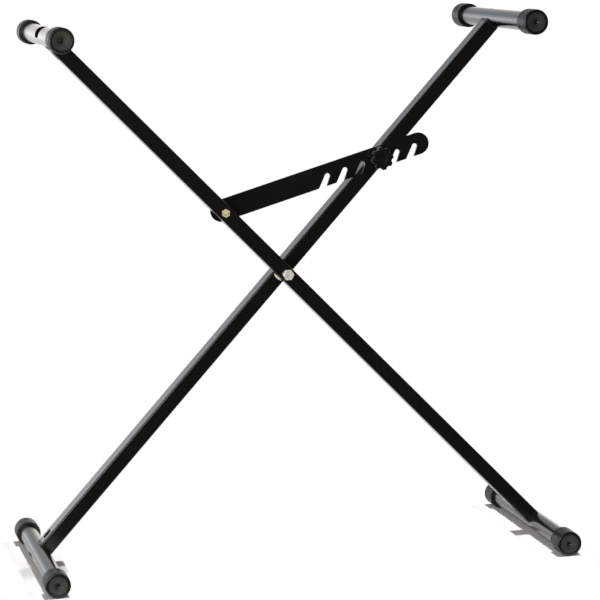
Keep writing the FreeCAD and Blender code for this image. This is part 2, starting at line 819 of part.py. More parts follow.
def make_knob():
    """A star knob moulded round its insert, with a boss towards the plate."""
    body = new_body("star_knob", stud_frame)
    outer = size["knob_diameter"] / 2
    star_back = -(knob_seat - size["knob_boss_height"])
    star_front = star_back + size["knob_height"]

    disc = new_sketch(body, "disc_circle", "XZ_Plane", star_back)
    draw_circle(disc, size["knob_diameter"])
    pad(body, "disc", disc, size["knob_height"])
    boss = new_sketch(body, "boss_circle", "XZ_Plane", -knob_seat)
    draw_circle(boss, size["knob_boss_diameter"])
    pad(body, "boss", boss, size["knob_boss_height"] * 2)

    # The hollows lie between the lobes, and one lobe points straight up the arm.
    scallop = new_sketch(body, "scallop_circle", "XZ_Plane", star_back)
    centre = outer + size["knob_scallop_diameter"] / 2 - size["knob_scallop_depth"]
    half_step = math.pi / KNOB_LOBES
    draw_circle(scallop, size["knob_scallop_diameter"],
                centre * math.cos(half_step), centre * math.sin(half_step))
    hollow = pocket(body, "scallop", scallop, size["knob_height"], reverse=True)
    star = polar_copies(body, "scallops", [hollow], "Y_Axis", KNOB_LOBES)

    def is_front_rim(edge):
        return all(abs(vertex.Point.y + star_front.number) < 1e-5
                   for vertex in edge.Vertexes)

    round_edges(body, "front_rim", star, size["knob_edge"], is_front_rim,
                "PartDesign::Chamfer")

    dish = new_sketch(body, "dish_circle", "XZ_Plane", star_front)
    draw_circle(dish, size["knob_dish_diameter"])
    pocket(body, "dish", dish, size["knob_dish_depth"])
    nest = new_sketch(body, "insert_circle", "XZ_Plane", -knob_seat)
    draw_circle(nest, size["insert_diameter"] + size["push_fit"] * 2)
    pocket(body, "insert_nest", nest, size["insert_length"], reverse=True)


make_knob()


# ---------------------------------------------------------------------------
# Check and write
# ---------------------------------------------------------------------------

doc.recompute()
for item in doc.Objects:
    if "Invalid" in item.State or "Error" in item.State:
        raise RuntimeError("%s did not compute" % item.Label)

os.makedirs("parts", exist_ok=True)
for item in subparts:
    shape = item.Shape
    if shape.isNull() or not shape.isValid() or not shape.Solids:
        raise RuntimeError("%s has no sound shape" % item.Label)
    shape.exportStep("parts/%s.step" % item.Label)
    box = shape.BoundBox
    print("%-24s solids %d  volume %9.1f  y %7.1f to %6.1f" % (
        item.Label, len(shape.Solids), shape.Volume, box.YMin, box.YMax))
print("%d sub-parts" % len(subparts))
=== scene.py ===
# %% [markdown]
# # A folding keyboard stand
#
# Two rectangular tubes cross at one bolt and carry round bars with rubber caps. A slotted
# plate locks the fold. The construction is loaded as a fixed frame, so this lesson is about
# how the stand looks: black powder coat, moulded rubber, zinc plated bolts and a plain
# white studio. We read each piece's place from the frame and never move what it holds.

# %% Load the frame
import json
import math

import bmesh
import bpy
from mathutils import Matrix, Vector

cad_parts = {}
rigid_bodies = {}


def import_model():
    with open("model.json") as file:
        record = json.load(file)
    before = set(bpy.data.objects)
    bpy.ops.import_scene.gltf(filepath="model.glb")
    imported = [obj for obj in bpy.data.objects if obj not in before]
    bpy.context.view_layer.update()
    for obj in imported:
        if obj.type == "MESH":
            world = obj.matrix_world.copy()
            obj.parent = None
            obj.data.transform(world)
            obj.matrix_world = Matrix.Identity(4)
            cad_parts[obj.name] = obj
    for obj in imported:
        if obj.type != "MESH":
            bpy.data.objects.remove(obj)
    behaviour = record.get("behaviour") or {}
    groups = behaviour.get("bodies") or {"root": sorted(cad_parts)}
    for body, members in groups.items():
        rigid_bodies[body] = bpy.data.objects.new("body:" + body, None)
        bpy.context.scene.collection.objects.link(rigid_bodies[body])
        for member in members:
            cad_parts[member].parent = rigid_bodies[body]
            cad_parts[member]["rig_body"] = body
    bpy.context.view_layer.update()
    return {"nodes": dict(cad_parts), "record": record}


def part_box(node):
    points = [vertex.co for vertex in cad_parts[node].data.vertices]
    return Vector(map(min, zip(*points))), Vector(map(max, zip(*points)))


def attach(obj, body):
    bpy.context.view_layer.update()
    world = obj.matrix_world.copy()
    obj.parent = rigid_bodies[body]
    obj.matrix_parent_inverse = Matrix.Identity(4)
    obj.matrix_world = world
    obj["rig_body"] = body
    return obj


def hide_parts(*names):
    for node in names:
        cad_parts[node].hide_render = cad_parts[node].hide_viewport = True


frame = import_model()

nodes = frame["nodes"]
MM = 0.001

# %% [markdown]
# ## What we read from the frame
#
# A cap, washer, nut or bolt is round about Y, so the middle of its box is its axis, and the
# box also gives its width and its two ends. The width of a bore is the smallest distance
# of a vertex from that axis. The record tells which slot each node's finish belongs to.

# %% Places and sizes
slots = {part["node"]: part["material_slot"] for part in frame["record"]["subparts"]}


def axis_of(node):
    """The Y axis through the middle of a node, as its X and Z."""
    low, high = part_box(node)
    return (low.x + high.x) / 2, (low.z + high.z) / 2


def ends_of(node):
    """Where a node starts and stops along Y."""
    low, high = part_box(node)
    return low.y, high.y


def reach_of(node, pick=max):
    """The largest, or the smallest, distance of a node's vertices from its axis."""
    x, z = axis_of(node)
    return pick(math.hypot(v.co.x - x, v.co.z - z) for v in nodes[node].data.vertices)


def half_width(node):
    """Half the width of a node's box, which is the radius of a round one."""
    low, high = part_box(node)
    return (high.x - low.x) / 2


def on_axis(node):
    """A placement that moves a piece made about the Y axis onto a node's axis."""
    x, z = axis_of(node)
    return Matrix.Translation((x, 0, z))


print("pivot at", [round(c, 4) for c in axis_of("pivot_bolt")])
print("cap radius", round(reach_of("left_rest_cap_front"), 5))

# %% [markdown]
# ## From a mesh to a piece
#
# Every new piece is made with bmesh operators about the Y axis, at its true place along Y.
# It could be made at the origin and its object then moved, but a pattern on Object
# coordinates would slide with it. So the place is baked into the mesh, and the object stays
# at the origin, unturned. Each piece rides on the body of the node that it stands for.

# %% From a mesh to a piece
def shape_from(mesh, name="shape"):
    """A linked object made from a bmesh, which is used up."""
    data = bpy.data.meshes.new(name)
    mesh.to_mesh(data)
    mesh.free()
    shape = bpy.data.objects.new(name, data)
    bpy.context.scene.collection.objects.link(shape)
    return shape


def finish_piece(name, mesh, material, node, place=None, smooth_angle=35.0):
    """Make a mesh the piece that stands for a node of the frame."""
    if place is not None:
        mesh.transform(place)
    piece = shape_from(mesh, name)
    piece.data.polygons.foreach_set("use_smooth", [True] * len(piece.data.polygons))
    piece.data.set_sharp_from_angle(angle=math.radians(smooth_angle))
    piece.data.materials.append(material)
    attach(piece, nodes[node]["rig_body"])
    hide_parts(node)
    print(name, len(piece.data.polygons), "faces")
    return piece


# %% [markdown]
# ## Colours and nodes
#
# A colour is written as the sRGB hex value that a colour picker shows, and one function
# turns it linear. One more adds a node with its settings and its links, which keeps each
# node of a material on one line.

# %% Colours and nodes
def colour(code):
    """An sRGB hex value as a linear colour with full alpha."""
    values = [int(code[i:i + 2], 16) / 255 for i in (1, 3, 5)]
    linear = [v / 12.92 if v <= 0.04045 else ((v + 0.055) / 1.055) ** 2.4 for v in values]
    return (*linear, 1.0)


def add_node(tree, kind, links=None, **settings):
    """Add one node, set its properties or sockets, and link its inputs."""
    node = tree.nodes.new(kind)
    for key, value in settings.items():
        if hasattr(node, key):
            setattr(node, key, value)
        else:
            node.inputs[key].default_value = value
    for socket, source in (links or {}).items():
        tree.links.new(source, node.inputs[socket])
    return node


print("mid grey is", colour("#808080"))

# %% [markdown]
# ## A finish in three layers
#
# Every finish here is built from the same three layers: a colour that clouds between two
# near shades, a gloss that wanders with it, and a fine grain that blurs what it mirrors.
# It could be one flat colour, but that would look like a drawing. Pattern sizes are real
# ones, in millimetres, and each finish then adds what is its own.

# %% A finish in three layers
CLOUD_EDGES = (0.35, 0.65)  # where the cloud has reached one shade or the other


def layered_finish(name, shades, gloss, cloud_mm, grain_mm, depth_mm, **settings):
    """A clouded colour and gloss over a fine grain. Settings go to the shader."""
    material = bpy.data.materials.new(name)
    material.use_nodes = True
    tree = material.node_tree
    tree.nodes.clear()
    place = add_node(tree, "ShaderNodeTexCoord").outputs["Object"]
    cloud = add_node(tree, "ShaderNodeTexNoise", {"Vector": place}, Detail=5.0,
                     Scale=1 / (cloud_mm * MM)).outputs["Fac"]
    ramp = add_node(tree, "ShaderNodeValToRGB", {"Fac": cloud})
    for stop, position, shade in zip(ramp.color_ramp.elements, CLOUD_EDGES, shades):
        stop.position = position
        stop.color = colour(shade)
    polish = add_node(tree, "ShaderNodeMapRange", {"Value": cloud},
                      **{"To Min": gloss[0], "To Max": gloss[1]})
    grain = add_node(tree, "ShaderNodeTexNoise", {"Vector": place}, Detail=3.0,
                     Scale=1 / (grain_mm * MM))
    relief = add_node(tree, "ShaderNodeBump", {"Height": grain.outputs["Fac"]},
                      Strength=1.0, Distance=depth_mm * MM)
    shader = add_node(tree, "ShaderNodeBsdfPrincipled",
                      {"Base Color": ramp.outputs["Color"],
                       "Roughness": polish.outputs["Result"],
                       "Normal": relief.outputs["Normal"]}, **settings)
    add_node(tree, "ShaderNodeOutputMaterial", {"Surface": shader.outputs["BSDF"]})
    print("finish", name)
    return material


# %% [markdown]
# ## Powder coat
#
# Powder is sprayed on the bare tube and baked until it flows. It gives a deep, even black
# with a soft gloss. The melt never levels wholly, so there is a faint orange peel, waves
# of about two millimetres that blur each reflection. Seen square on it is nearly black.
# Seen along the tube it mirrors the white room, as every glossy coat does. A plain glossy
# black would mirror it as sharply as glass, so the waves lie over the finish's fine grain.

# %% Powder coat
def add_orange_peel(material, wave_mm, depth_mm):
    """Lay long shallow waves over a finish's fine grain."""
    tree = material.node_tree
    grain = tree.nodes["Bump"].outputs["Normal"]
    place = tree.nodes["Texture Coordinate"].outputs["Object"]
    waves = add_node(tree, "ShaderNodeTexNoise", {"Vector": place}, Detail=1.0,
                     Scale=1 / (wave_mm * MM))
    peel = add_node(tree, "ShaderNodeBump", {"Height": waves.outputs["Fac"],
                                             "Normal": grain},
                    Strength=1.0, Distance=depth_mm * MM)
    shader = tree.nodes["Principled BSDF"]
    tree.links.new(peel.outputs["Normal"], shader.inputs["Normal"])


powder_coat = layered_finish("black_powder_coat", ("#10100f", "#151513"), (0.17, 0.22),
                             60.0, 0.6, 0.001, IOR=1.5)
add_orange_peel(powder_coat, 2.2, 0.004)

# %% [markdown]
# ## Moulded rubber
#
# The caps are moulded in black rubber. Where the mould was polished, on the rims and the
# knurl, the rubber has a dull gloss. The dish in the cap's end was left rough in the mould.
# Its rubber is painted a lighter, slightly green grey, as painted light for what its matt
# face catches, so it is never quite black. One rubber for both would show the dish like
# the rim, so there are two.

# %% Moulded rubber
rubber = layered_finish("moulded_rubber", ("#121210", "#171715"), (0.26, 0.34),
                        8.0, 0.8, 0.004, IOR=1.52)
# Painted light: the dish's rubber is a lighter grey than the rim's, standing in for the
# light that its matt face catches.
matt_rubber_painted_lighter = layered_finish("matt_rubber_painted_light", ("#2b2b25", "#36362e"), (0.55, 0.7),
                             5.0, 0.5, 0.006, IOR=1.52)

# %% [markdown]
# ## Zinc plate
#
# Bolts, nuts and washers are zinc plated. The bath leaves a cloudy, broad gloss over the
# forged steel. A thin chalky film grows on it, so it looks pale in any light. A full metal
# would go as dark as the room that it mirrors, so most of this is only partly metallic.
#
# Three kinds differ. The plate's bolt and nut have been passivated yellow. The washers in
# the gap between the arms get a paler, mostly unmetallic copy of that zinc. It is painted
# light, so they look bright in the shade there. Those under the pivot's head and nut are
# punched from bright plated sheet, smooth enough to mirror the dark room. Their zinc is
# also painted a darker brown, as painted shade, so they look brown beside the forged head.

# %% Zinc plate
zinc = layered_finish("zinc_plate", ("#dad9d0", "#fbfbf7"), (0.4, 0.56),
                      2.6, 1.3, 0.02, Metallic=0.3)
yellow_zinc = layered_finish("yellow_passivated_zinc", ("#d9c998", "#f7efd6"),
                             (0.4, 0.56), 2.6, 1.3, 0.02, Metallic=0.3)
# Painted light: a paler, mostly unmetallic copy of the yellow zinc, so washers in the shade
# between the arms look bright.
pale_zinc_painted_light = layered_finish("yellow_zinc_painted_lighter", ("#efe3bd", "#fffbe8"), (0.5, 0.65),
                             2.6, 1.3, 0.01, Metallic=0.1)
# Painted shade: a darker brown copy of the zinc. Its smooth metal also really mirrors the
# dark room.
washer_zinc_painted_shade = layered_finish("punched_zinc_painted_shade", ("#a38a5c", "#bba478"), (0.14, 0.22),
                             2.0, 0.9, 0.002, Metallic=1.0)

# %% [markdown]
# ## Plastics
#
# The knob and the saddle blocks are moulded black plastic with a satin skin. The spacer
# between the arms and the locking ring of the pivot nut are natural nylon, a milky white
# that lets a little light in. Opaque white would look like paint, so it has some
# subsurface.

# %% Plastics
knob_plastic = layered_finish("black_moulded_nylon", ("#0f0f0e", "#131312"), (0.24, 0.3),
                              6.0, 0.5, 0.002, IOR=1.53)
block_plastic = layered_finish("black_polypropylene", ("#121211", "#181816"), (0.4, 0.5),
                               6.0, 0.5, 0.004, IOR=1.49)
white_nylon = layered_finish("natural_nylon", ("#dedbcd", "#eeebdf"), (0.4, 0.5),
                             4.0, 0.5, 0.003,
                             **{"IOR": 1.53, "Subsurface Weight": 0.2,
                                "Subsurface Scale": 2 * MM})

# %% [markdown]
# ## Turned brass
#
# The knob's thread is cut in a turned brass insert, and the tool leaves fine rings on it
# that stretch each highlight across them. They could be cut in the mesh, but so shallow a
# groove is a matter of shading alone. Real ones are finer. They are drawn 0.8 mm apart so
# that they show.

# %% Turned brass
def add_turning_rings(material, pitch_mm, depth_mm):
    """Cut rings round Y over a finish's grain, as a turning tool does."""
    tree = material.node_tree
    place = tree.nodes["Texture Coordinate"].outputs["Object"]
    rings = add_node(tree, "ShaderNodeTexWave", {"Vector": place}, wave_type="BANDS",
                     bands_direction="Y", Scale=1 / (pitch_mm * MM))
    cut = add_node(tree, "ShaderNodeBump", {"Height": rings.outputs["Fac"],
                                            "Normal": tree.nodes["Bump"].outputs["Normal"]},
                   Strength=1.0, Distance=depth_mm * MM)
    shader = tree.nodes["Principled BSDF"]
    tree.links.new(cut.outputs["Normal"], shader.inputs["Normal"])


brass = layered_finish("turned_brass", ("#c09a52", "#d2b06a"), (0.22, 0.34),
                       3.0, 0.4, 0.001, Metallic=1.0)
add_turning_rings(brass, 0.8, 0.01)

# %% [markdown]
# ## Finishes for the pieces that stay
#
# Tubes, bars and saddle blocks already have their true shape. They could be made anew, but
# nothing would be added to them. Each keeps its mesh and only gets its finish, chosen by
# the slot that the record names.

# %% Assign the finishes
FINISHES = {
    "black_powder_coat": powder_coat,
    "cap_rubber": rubber,
    "block_plastic": block_plastic,
    "zinc_plated_steel": zinc,
    "white_nylon": white_nylon,
    "knob_plastic": knob_plastic,
    "insert_brass": brass,
}

for name, node in nodes.items():
    node.data.materials.clear()
    node.data.materials.append(FINISHES[slots[name]])
print("finished", len(nodes), "nodes")

# %% [markdown]
# ## The locking plate
#
# The plate is cut from strip, tumbled and coated, so its edges are softly rounded and
# catch a thin line of light. It could be drawn anew, but the node already has the true
# slots. So we copy its mesh, merge its loose triangles, dissolve the flat ones into whole
# faces, and bevel each sharp edge.

# %% Locking plate
PLATE_EDGE = 0.45 * MM
FLAT = math.radians(1.0)  # faces that bend less than this are one face
SHARP = math.radians(60.0)  # edges that bend more than this are rounded


def soften_plate(node, width):
    """A copy of a flat node with its sharp edges rounded."""
    mesh = bmesh.new()
    mesh.from_mesh(nodes[node].data)
    bmesh.ops.remove_doubles(mesh, verts=mesh.verts, dist=1e-6)
    bmesh.ops.dissolve_limit(mesh, angle_limit=FLAT, verts=mesh.verts,
                             edges=mesh.edges)
    sharp = [edge for edge in mesh.edges
             if len(edge.link_faces) == 2 and edge.calc_face_angle() > SHARP]
    bmesh.ops.bevel(mesh, geom=sharp, offset=width, offset_type="OFFSET", affect="EDGES",
                    segments=2, profile=0.5, material=-1, clamp_overlap=True)
    return finish_piece(node + "_rounded", mesh, powder_coat, node, smooth_angle=20.0)


soften_plate("locking_plate", PLATE_EDGE)

# %% [markdown]
# ## Turned pieces
#
# Caps, knob, washers and shanks are round about Y. Each could start as a cylinder that is
# cut and bevelled, but one profile and a full spin says every size more plainly.

# %% Turned pieces
def turned(profile, steps=48):
    """Spin a profile of (distance along Y, radius) pairs once round the Y axis."""
    mesh = bmesh.new()
    points = [mesh.verts.new((radius, along, 0)) for along, radius in profile]
    edges = [mesh.edges.new(pair) for pair in zip(points, points[1:])]
    bmesh.ops.spin(mesh, geom=points + edges, cent=(0, 0, 0), axis=(0, 1, 0),
                   angle=math.tau, steps=steps, use_merge=True)
    bmesh.ops.remove_doubles(mesh, verts=mesh.verts, dist=1e-7)
    bmesh.ops.recalc_face_normals(mesh, faces=mesh.faces)
    return mesh


def arc(centre, radius, start, end, steps):
    """Points of an arc for a profile, from one angle to another in degrees."""
    angles = [math.radians(start + (end - start) * i / steps) for i in range(steps + 1)]
    return [(centre[0] + radius * math.cos(a), centre[1] + radius * math.sin(a))
            for a in angles]


print("a quarter round of 4 steps has", len(arc((0, 0), 1, 0, 90, 4)), "points")

# %% [markdown]
# ## The knurl of the caps
#
# A diamond knurl round each rubber cap gives it grip. A bump map could draw it, but the
# pads also break the cap's outline, so they are real geometry.
#
# The cap's profile has rows half a diamond apart here, and the spin makes columns half a
# diamond apart, so the vertices alternate like the squares of a chessboard. Joining one
# colour across each face and dissolving the other leaves a net of diamonds. Each is then
# inset and raised to a flat pad, which leaves the crossing grooves of a knurled mould.
#
# The real diamonds are a little finer. They are drawn this coarse so that they show.

# %% Knurl
DIAMONDS_ROUND = 34
KNURL_HEIGHT = 0.6 * MM
GROOVE_FLOOR = 0.3 * MM  # half the flat floor between two pads
GROOVE_WALL = 0.2 * MM  # the slope from there up to a pad
ON_ROOT = 0.05 * MM  # this near the knurl's root, a vertex counts as on it
KNURL_START = 3.2 * MM
MOUTH_BAND = 1.6 * MM


def knurl_rows(length, radius):
    """The rows of the knurl's grid along the cap, half a diamond apart."""
    diamond = math.tau * radius / DIAMONDS_ROUND
    count = 2 * round((length - MOUTH_BAND - KNURL_START) / diamond)
    step = (length - MOUTH_BAND - KNURL_START) / count
    return [KNURL_START + i * step for i in range(count + 1)]


def raise_knurl(mesh, rows, radius):
    """Turn the grid between two rows into a field of raised diamonds."""
    step = math.pi / DIAMONDS_ROUND
    corners, middles = [], []
    for vert in mesh.verts:
        reach = math.hypot(vert.co.x, vert.co.z)
        row = round((vert.co.y - rows[0]) / (rows[1] - rows[0]))
        if abs(reach - (radius - KNURL_HEIGHT)) > ON_ROOT or not 0 <= row < len(rows):
            continue
        column = round(math.atan2(vert.co.z, vert.co.x) / step)
        if (row + column) % 2:
            corners.append(vert)
        elif 0 < row < len(rows) - 1:
            middles.append(vert)
    bmesh.ops.connect_verts(mesh, verts=corners)
    diamonds = {face for vert in middles for face in vert.link_faces}
    known = set(mesh.faces) - diamonds
    bmesh.ops.dissolve_verts(mesh, verts=middles)
    pads = [face for face in mesh.faces if face not in known]
    bmesh.ops.inset_individual(mesh, faces=pads, thickness=GROOVE_FLOOR, depth=0.0)
    bmesh.ops.inset_individual(mesh, faces=pads, thickness=GROOVE_WALL,
                               depth=KNURL_HEIGHT)


print(DIAMONDS_ROUND, "diamonds round each cap")

# %% [markdown]
# ## The rubber caps
#
# Each cap is a thick cup pushed over the bar's end, with a plain band at the rim and
# another at the mouth, either side of the knurl. Its end has a raised rim round a matt
# dish, with a small recess and a pip in the middle, where the rubber was let into the
# mould. One spun profile holds all of it. The dish's faces take the matt rubber, painted
# lighter as painted light, and the recess keeps the dark rubber as painted shade.

# %% Caps
CAP_END = 5.0 * MM
DISH_REACH = 12.4 * MM
RECESS_REACH = 3.8 * MM
BAR_RADIUS = reach_of("left_rest_bar")


def cap_profile(length, radius, bore):
    """The section of a cap, from the middle of its end, round its side, to its inside."""
    pip = [(2.6 * MM, 0.0), (2.7 * MM, 0.8 * MM), (3.8 * MM, 1.2 * MM)]
    recess = [(3.9 * MM, 2.2 * MM), (3.4 * MM, 3.1 * MM), (2.9 * MM, RECESS_REACH)]
    dish = [(2.1 * MM, 5.0 * MM), (1.5 * MM, 6.4 * MM), (1.1 * MM, 8.6 * MM),
            (0.8 * MM, 10.8 * MM), (0.6 * MM, DISH_REACH)]
    rim = [(0.1 * MM, 12.8 * MM), (0.0, 13.3 * MM)]
    edge = arc((1.9 * MM, radius - 1.9 * MM), 1.9 * MM, 180, 90, 5)
    root = radius - KNURL_HEIGHT
    band = [(KNURL_START - KNURL_HEIGHT, radius)]
    knurl = [(row, root) for row in knurl_rows(length, radius)]
    mouth = [(length - MOUTH_BAND + 0.5 * MM, radius), (length - 0.4 * MM, radius),
             (length, radius - 0.4 * MM), (length, bore + 0.3 * MM),
             (length - 0.3 * MM, bore)]
    inside = [(CAP_END, bore), (CAP_END, 0.0)]
    return pip + recess + dish + rim + edge + band + knurl + mouth + inside


def make_cap(node, behind):
    """A cap whose end looks along -Y, or along +Y at the stand's back."""
    start, stop = ends_of(node)
    radius = half_width(node)
    length = stop - start
    mesh = turned(cap_profile(length, radius, BAR_RADIUS), DIAMONDS_ROUND * 2)
    raise_knurl(mesh, knurl_rows(length, radius), radius)
    # The dish's faces take the rubber painted lighter, as painted light. The recess and the
    # pip keep the dark rim rubber, which is painted shade in the recess.
    for face in mesh.faces:
        centre = face.calc_center_median()
        reach = math.hypot(centre.x, centre.z)
        matt = centre.y < CAP_END - MM and RECESS_REACH - 0.5 * MM < reach < DISH_REACH
        face.material_index = 1 if matt else 0
    place = on_axis(node) @ Matrix.Translation((0, start, 0))
    if behind:
        place = (on_axis(node) @ Matrix.Translation((0, stop, 0))
                 @ Matrix.Rotation(math.pi, 4, "Z"))
    piece = finish_piece(node + "_knurled", mesh, rubber, node, place, 25.0)
    # The second finish is the dish's rubber, painted lighter as painted light.
    piece.data.materials.append(matt_rubber_painted_lighter)


for end in ("left_rest", "right_rest", "left_foot", "right_foot"):
    make_cap(end + "_cap_front", False)
    make_cap(end + "_cap_rear", True)

# %% [markdown]
# ## The star knob
#
# The knob is one moulding with eight lobes, rounded wherever a thumb meets it, and a
# shallow dish in its face. A star could be extruded and bevelled, but its rounded edge
# would break at each corner of the star. So we spin a round body, and pull its outer
# vertices in where a round cutter would pass, with the corner between cutter and rim
# blended. The same rounded edge then runs along every lobe and scallop.

# %% Star knob
LOBES = 8
SCALLOP_RADIUS = 4.25 * MM
SCALLOP_DEPTH = 2.4 * MM
SCALLOP_PHASE = math.radians(33.0)
BLEND = 0.35 * MM
LOBE_ROOT = 8.5 * MM
PULL_RISE = 1.6  # how soon, past the root, the pull is full
BOSS = 3.0 * MM  # how far the boss stands out behind the lobes
INSERT_DEPTH = 10.0 * MM


def star_radius(angle, radius):
    """The radius of the star's outline at an angle, scallops blended into lobes."""
    pitch = math.tau / LOBES
    off = (angle - SCALLOP_PHASE + pitch / 2) % pitch - pitch / 2
    centre = radius + SCALLOP_RADIUS - SCALLOP_DEPTH
    inside = SCALLOP_RADIUS ** 2 - (centre * math.sin(off)) ** 2
    if inside <= 0:
        return radius
    cut = centre * math.cos(off) - math.sqrt(inside)
    return -BLEND * math.log(math.exp(-cut / BLEND) + math.exp(-radius / BLEND))


def make_knob(node):
    """The knob, from its dished face to the boss that meets the washer."""
    front, back = ends_of(node)
    radius = half_width(node)
    under = back - BOSS
    bore = reach_of(node, min)
    profile = [(front + 0.5 * MM, 0.0), (front + 0.5 * MM, 5.6 * MM)]
    profile += [(front + 0.1 * MM, 7.2 * MM), (front, 8.4 * MM)]
    profile += arc((front + 2.2 * MM, radius - 2.2 * MM), 2.2 * MM, 180, 90, 6)
    profile += arc((under - 1.2 * MM, radius - 1.2 * MM), 1.2 * MM, 90, 0, 4)
    profile += [(under, LOBE_ROOT + 0.4 * MM), (under + 0.4 * MM, LOBE_ROOT),
                (back - 0.4 * MM, LOBE_ROOT), (back, LOBE_ROOT - 0.4 * MM),
                (back, bore), (back - INSERT_DEPTH, bore), (back - INSERT_DEPTH, 0.0)]
    mesh = turned(profile, LOBES * 24)
    for vert in mesh.verts:
        reach = math.hypot(vert.co.x, vert.co.z)
        if reach <= LOBE_ROOT + 0.5 * MM:
            continue
        share = (reach - LOBE_ROOT) / (radius - LOBE_ROOT)
        outline = star_radius(math.atan2(vert.co.z, vert.co.x), radius)
        pull = 1 - (radius - outline) * min(1.0, share * PULL_RISE) / reach
        vert.co.x *= pull
        vert.co.z *= pull
    return finish_piece(node + "_moulded", mesh, knob_plastic, node, on_axis(node), 40.0)


make_knob("star_knob")

# %% [markdown]
# ## Washers
#
# Washers are punched from sheet, which softens their edges. Each could stay as its node's
# plain ring, but the soft edge is what catches the light. So each is a turned ring whose
# sizes come from its own node.

# %% Washers
def make_washer(node, material):
    """A punched ring with softly rounded edges."""
    start, stop = ends_of(node)
    outer, bore = reach_of(node), reach_of(node, min)
    soft = min(0.35 * MM, (stop - start) * 0.3)
    profile = [(start, bore), (start, outer - soft)]
    profile += arc((start + soft, outer - soft), soft, 180, 90, 3)[1:]
    profile += arc((stop - soft, outer - soft), soft, 90, 0, 3)
    profile += [(stop, bore), (start, bore)]
    return finish_piece(node + "_punched", turned(profile, 64), material, node,
                        on_axis(node))


# The gap washers and the plate's washer take the zinc painted lighter, as painted light.
for name in ("gap_washer_front", "gap_washer_rear", "plate_washer"):
    make_washer(name, pale_zinc_painted_light)
# The pivot washers take the zinc painted darker, as painted shade.
for name in ("pivot_front_washer", "pivot_rear_washer"):
    make_washer(name, washer_zinc_painted_shade)
for name in ("clamp_washer", "stud_washer"):
    make_washer(name, zinc)

# %% [markdown]
# ## Hexagon heads and nuts
#
# A bolt's head is forged, so its top is chamfered round and slightly cupped. The chamfer
# meets the six flats in arcs, which a bevel on a hexagon's edges can't give. So a head is
# made as the real one is shaped: a turned blank carries the chamfer, a hexagon bar has
# the flats, and we keep what the two have in common.

# %% Hexagon bar and what two meshes have in common
def hexagon(flats, start, stop, turn):
    """A hexagon bar along Y, with one corner turned so many degrees from upright."""
    mesh = bmesh.new()
    bmesh.ops.create_cone(mesh, cap_ends=True, segments=6, radius1=flats / math.sqrt(3),
                          radius2=flats / math.sqrt(3), depth=stop - start)
    place = (Matrix.Translation((0, (start + stop) / 2, 0))
             @ Matrix.Rotation(math.radians(turn), 4, "Y")
             @ Matrix.Rotation(math.pi / 2, 4, "X"))
    mesh.transform(place)
    return mesh


def common(first, second):
    """What two closed meshes have in common."""
    bar, blank = shape_from(first), shape_from(second)
    modifier = bar.modifiers.new("common", "BOOLEAN")
    modifier.operation = "INTERSECT"
    modifier.solver = "EXACT"
    modifier.object = blank
    view = bpy.context.evaluated_depsgraph_get()
    result = bmesh.new()
    result.from_mesh(bpy.data.meshes.new_from_object(bar.evaluated_get(view)))
    for shape in (bar, blank):
        bpy.data.objects.remove(shape)
    return result


print("a 13 mm hexagon is", round(26 / math.sqrt(3), 2), "mm wide over its corners")

# %% Hexagon heads
CHAMFER = math.tan(math.radians(30))
SINK = 0.7 * MM
FACE_SHARE = 0.95  # the round face's share of the width over the flats
OVERSIZE = 1.02  # a blank is this much wider than the corners


def blank(start, stop, flats, front=True, back=False, cup=0.0, bore=None):
    """A turned blank for a hexagon, chamfered at one end or at both.

    The front of a head is cupped. A nut has a bore instead, sunk at its front.
    """
    corner = flats / math.sqrt(3)
    face = flats / 2 * FACE_SHARE
    rise = (corner - face) * CHAMFER
    over = corner * OVERSIZE
    outside = [(start, face), (start + rise, over)] if front else [(start, over)]
    outside += [(stop - rise, over), (stop, face)] if back else [(stop, over)]
    if bore is None:
        middle = [(start + cup, 0.0), (start + cup, face * 0.45), (start, face * 0.75)]
        return turned(middle + outside + [(stop, 0.0)], 72)
    inside = [(start + SINK, bore), (start, bore + SINK)]
    return turned(inside + outside + [(stop, bore), inside[0]], 72)


def hexagon_piece(start, stop, flats, turn, **ends):
    """A hexagon head or nut: what its bar and its blank have in common."""
    margin = 1.0 * MM
    bar = hexagon(flats, start - margin, stop + margin, turn)
    return common(bar, blank(start, stop, flats, **ends))


print("chamfer rises", round(CHAMFER, 3), "mm for each mm in")

# %% [markdown]
# ## Bolts
#
# A thread is drawn as rings, because on so short an end a true helix can't be told from
# them. A bolt is its head and its shank, each a closed shell. They could be welded into
# one, but their seam lies hidden under the head.
#
# The stand turns on the pivot bolt. Its nut has a nylon collar, so that it doesn't shake
# loose. Each head and nut is turned to the angle that the photograph shows.

# %% Threads and shells
THREAD_DEPTH = 0.6  # a share of the pitch


def thread(start, stop, radius, pitch):
    """The threaded end of a rod: rings a pitch apart and a chamfered tip."""
    root = radius - pitch * THREAD_DEPTH
    count = max(1, int(abs(stop - start) / pitch))
    way = math.copysign(pitch, stop - start)
    profile = [(start, radius)]
    for ring in range(count):
        here = start + way * ring
        profile += [(here + way * 0.2, root), (here + way * 0.5, radius),
                    (here + way * 0.7, radius)]
    return profile + [(stop - way * 0.1, root + pitch * 0.3), (stop, root), (stop, 0.0)]


def joined(*meshes):
    """Several meshes as one, each a closed shell of its own."""
    whole = bmesh.new()
    for mesh in meshes:
        data = bpy.data.meshes.new("shell")
        mesh.to_mesh(data)
        mesh.free()
        whole.from_mesh(data)
    return whole


print("a thread is", THREAD_DEPTH, "of its pitch deep")

# %% Pivot bolt and its lock nut
PIVOT_HEAD = 5.3 * MM
PIVOT_FLATS = 13.0 * MM
PIVOT_PITCH = 1.25 * MM
COLLAR = 2.2 * MM
COLLAR_RING = 4.75 * MM  # within this, the collar's top is nylon
THREAD_PLAY = 0.05 * MM
HEAD_TURN = 90.0
LOCK_NUT_TURN = 43.2


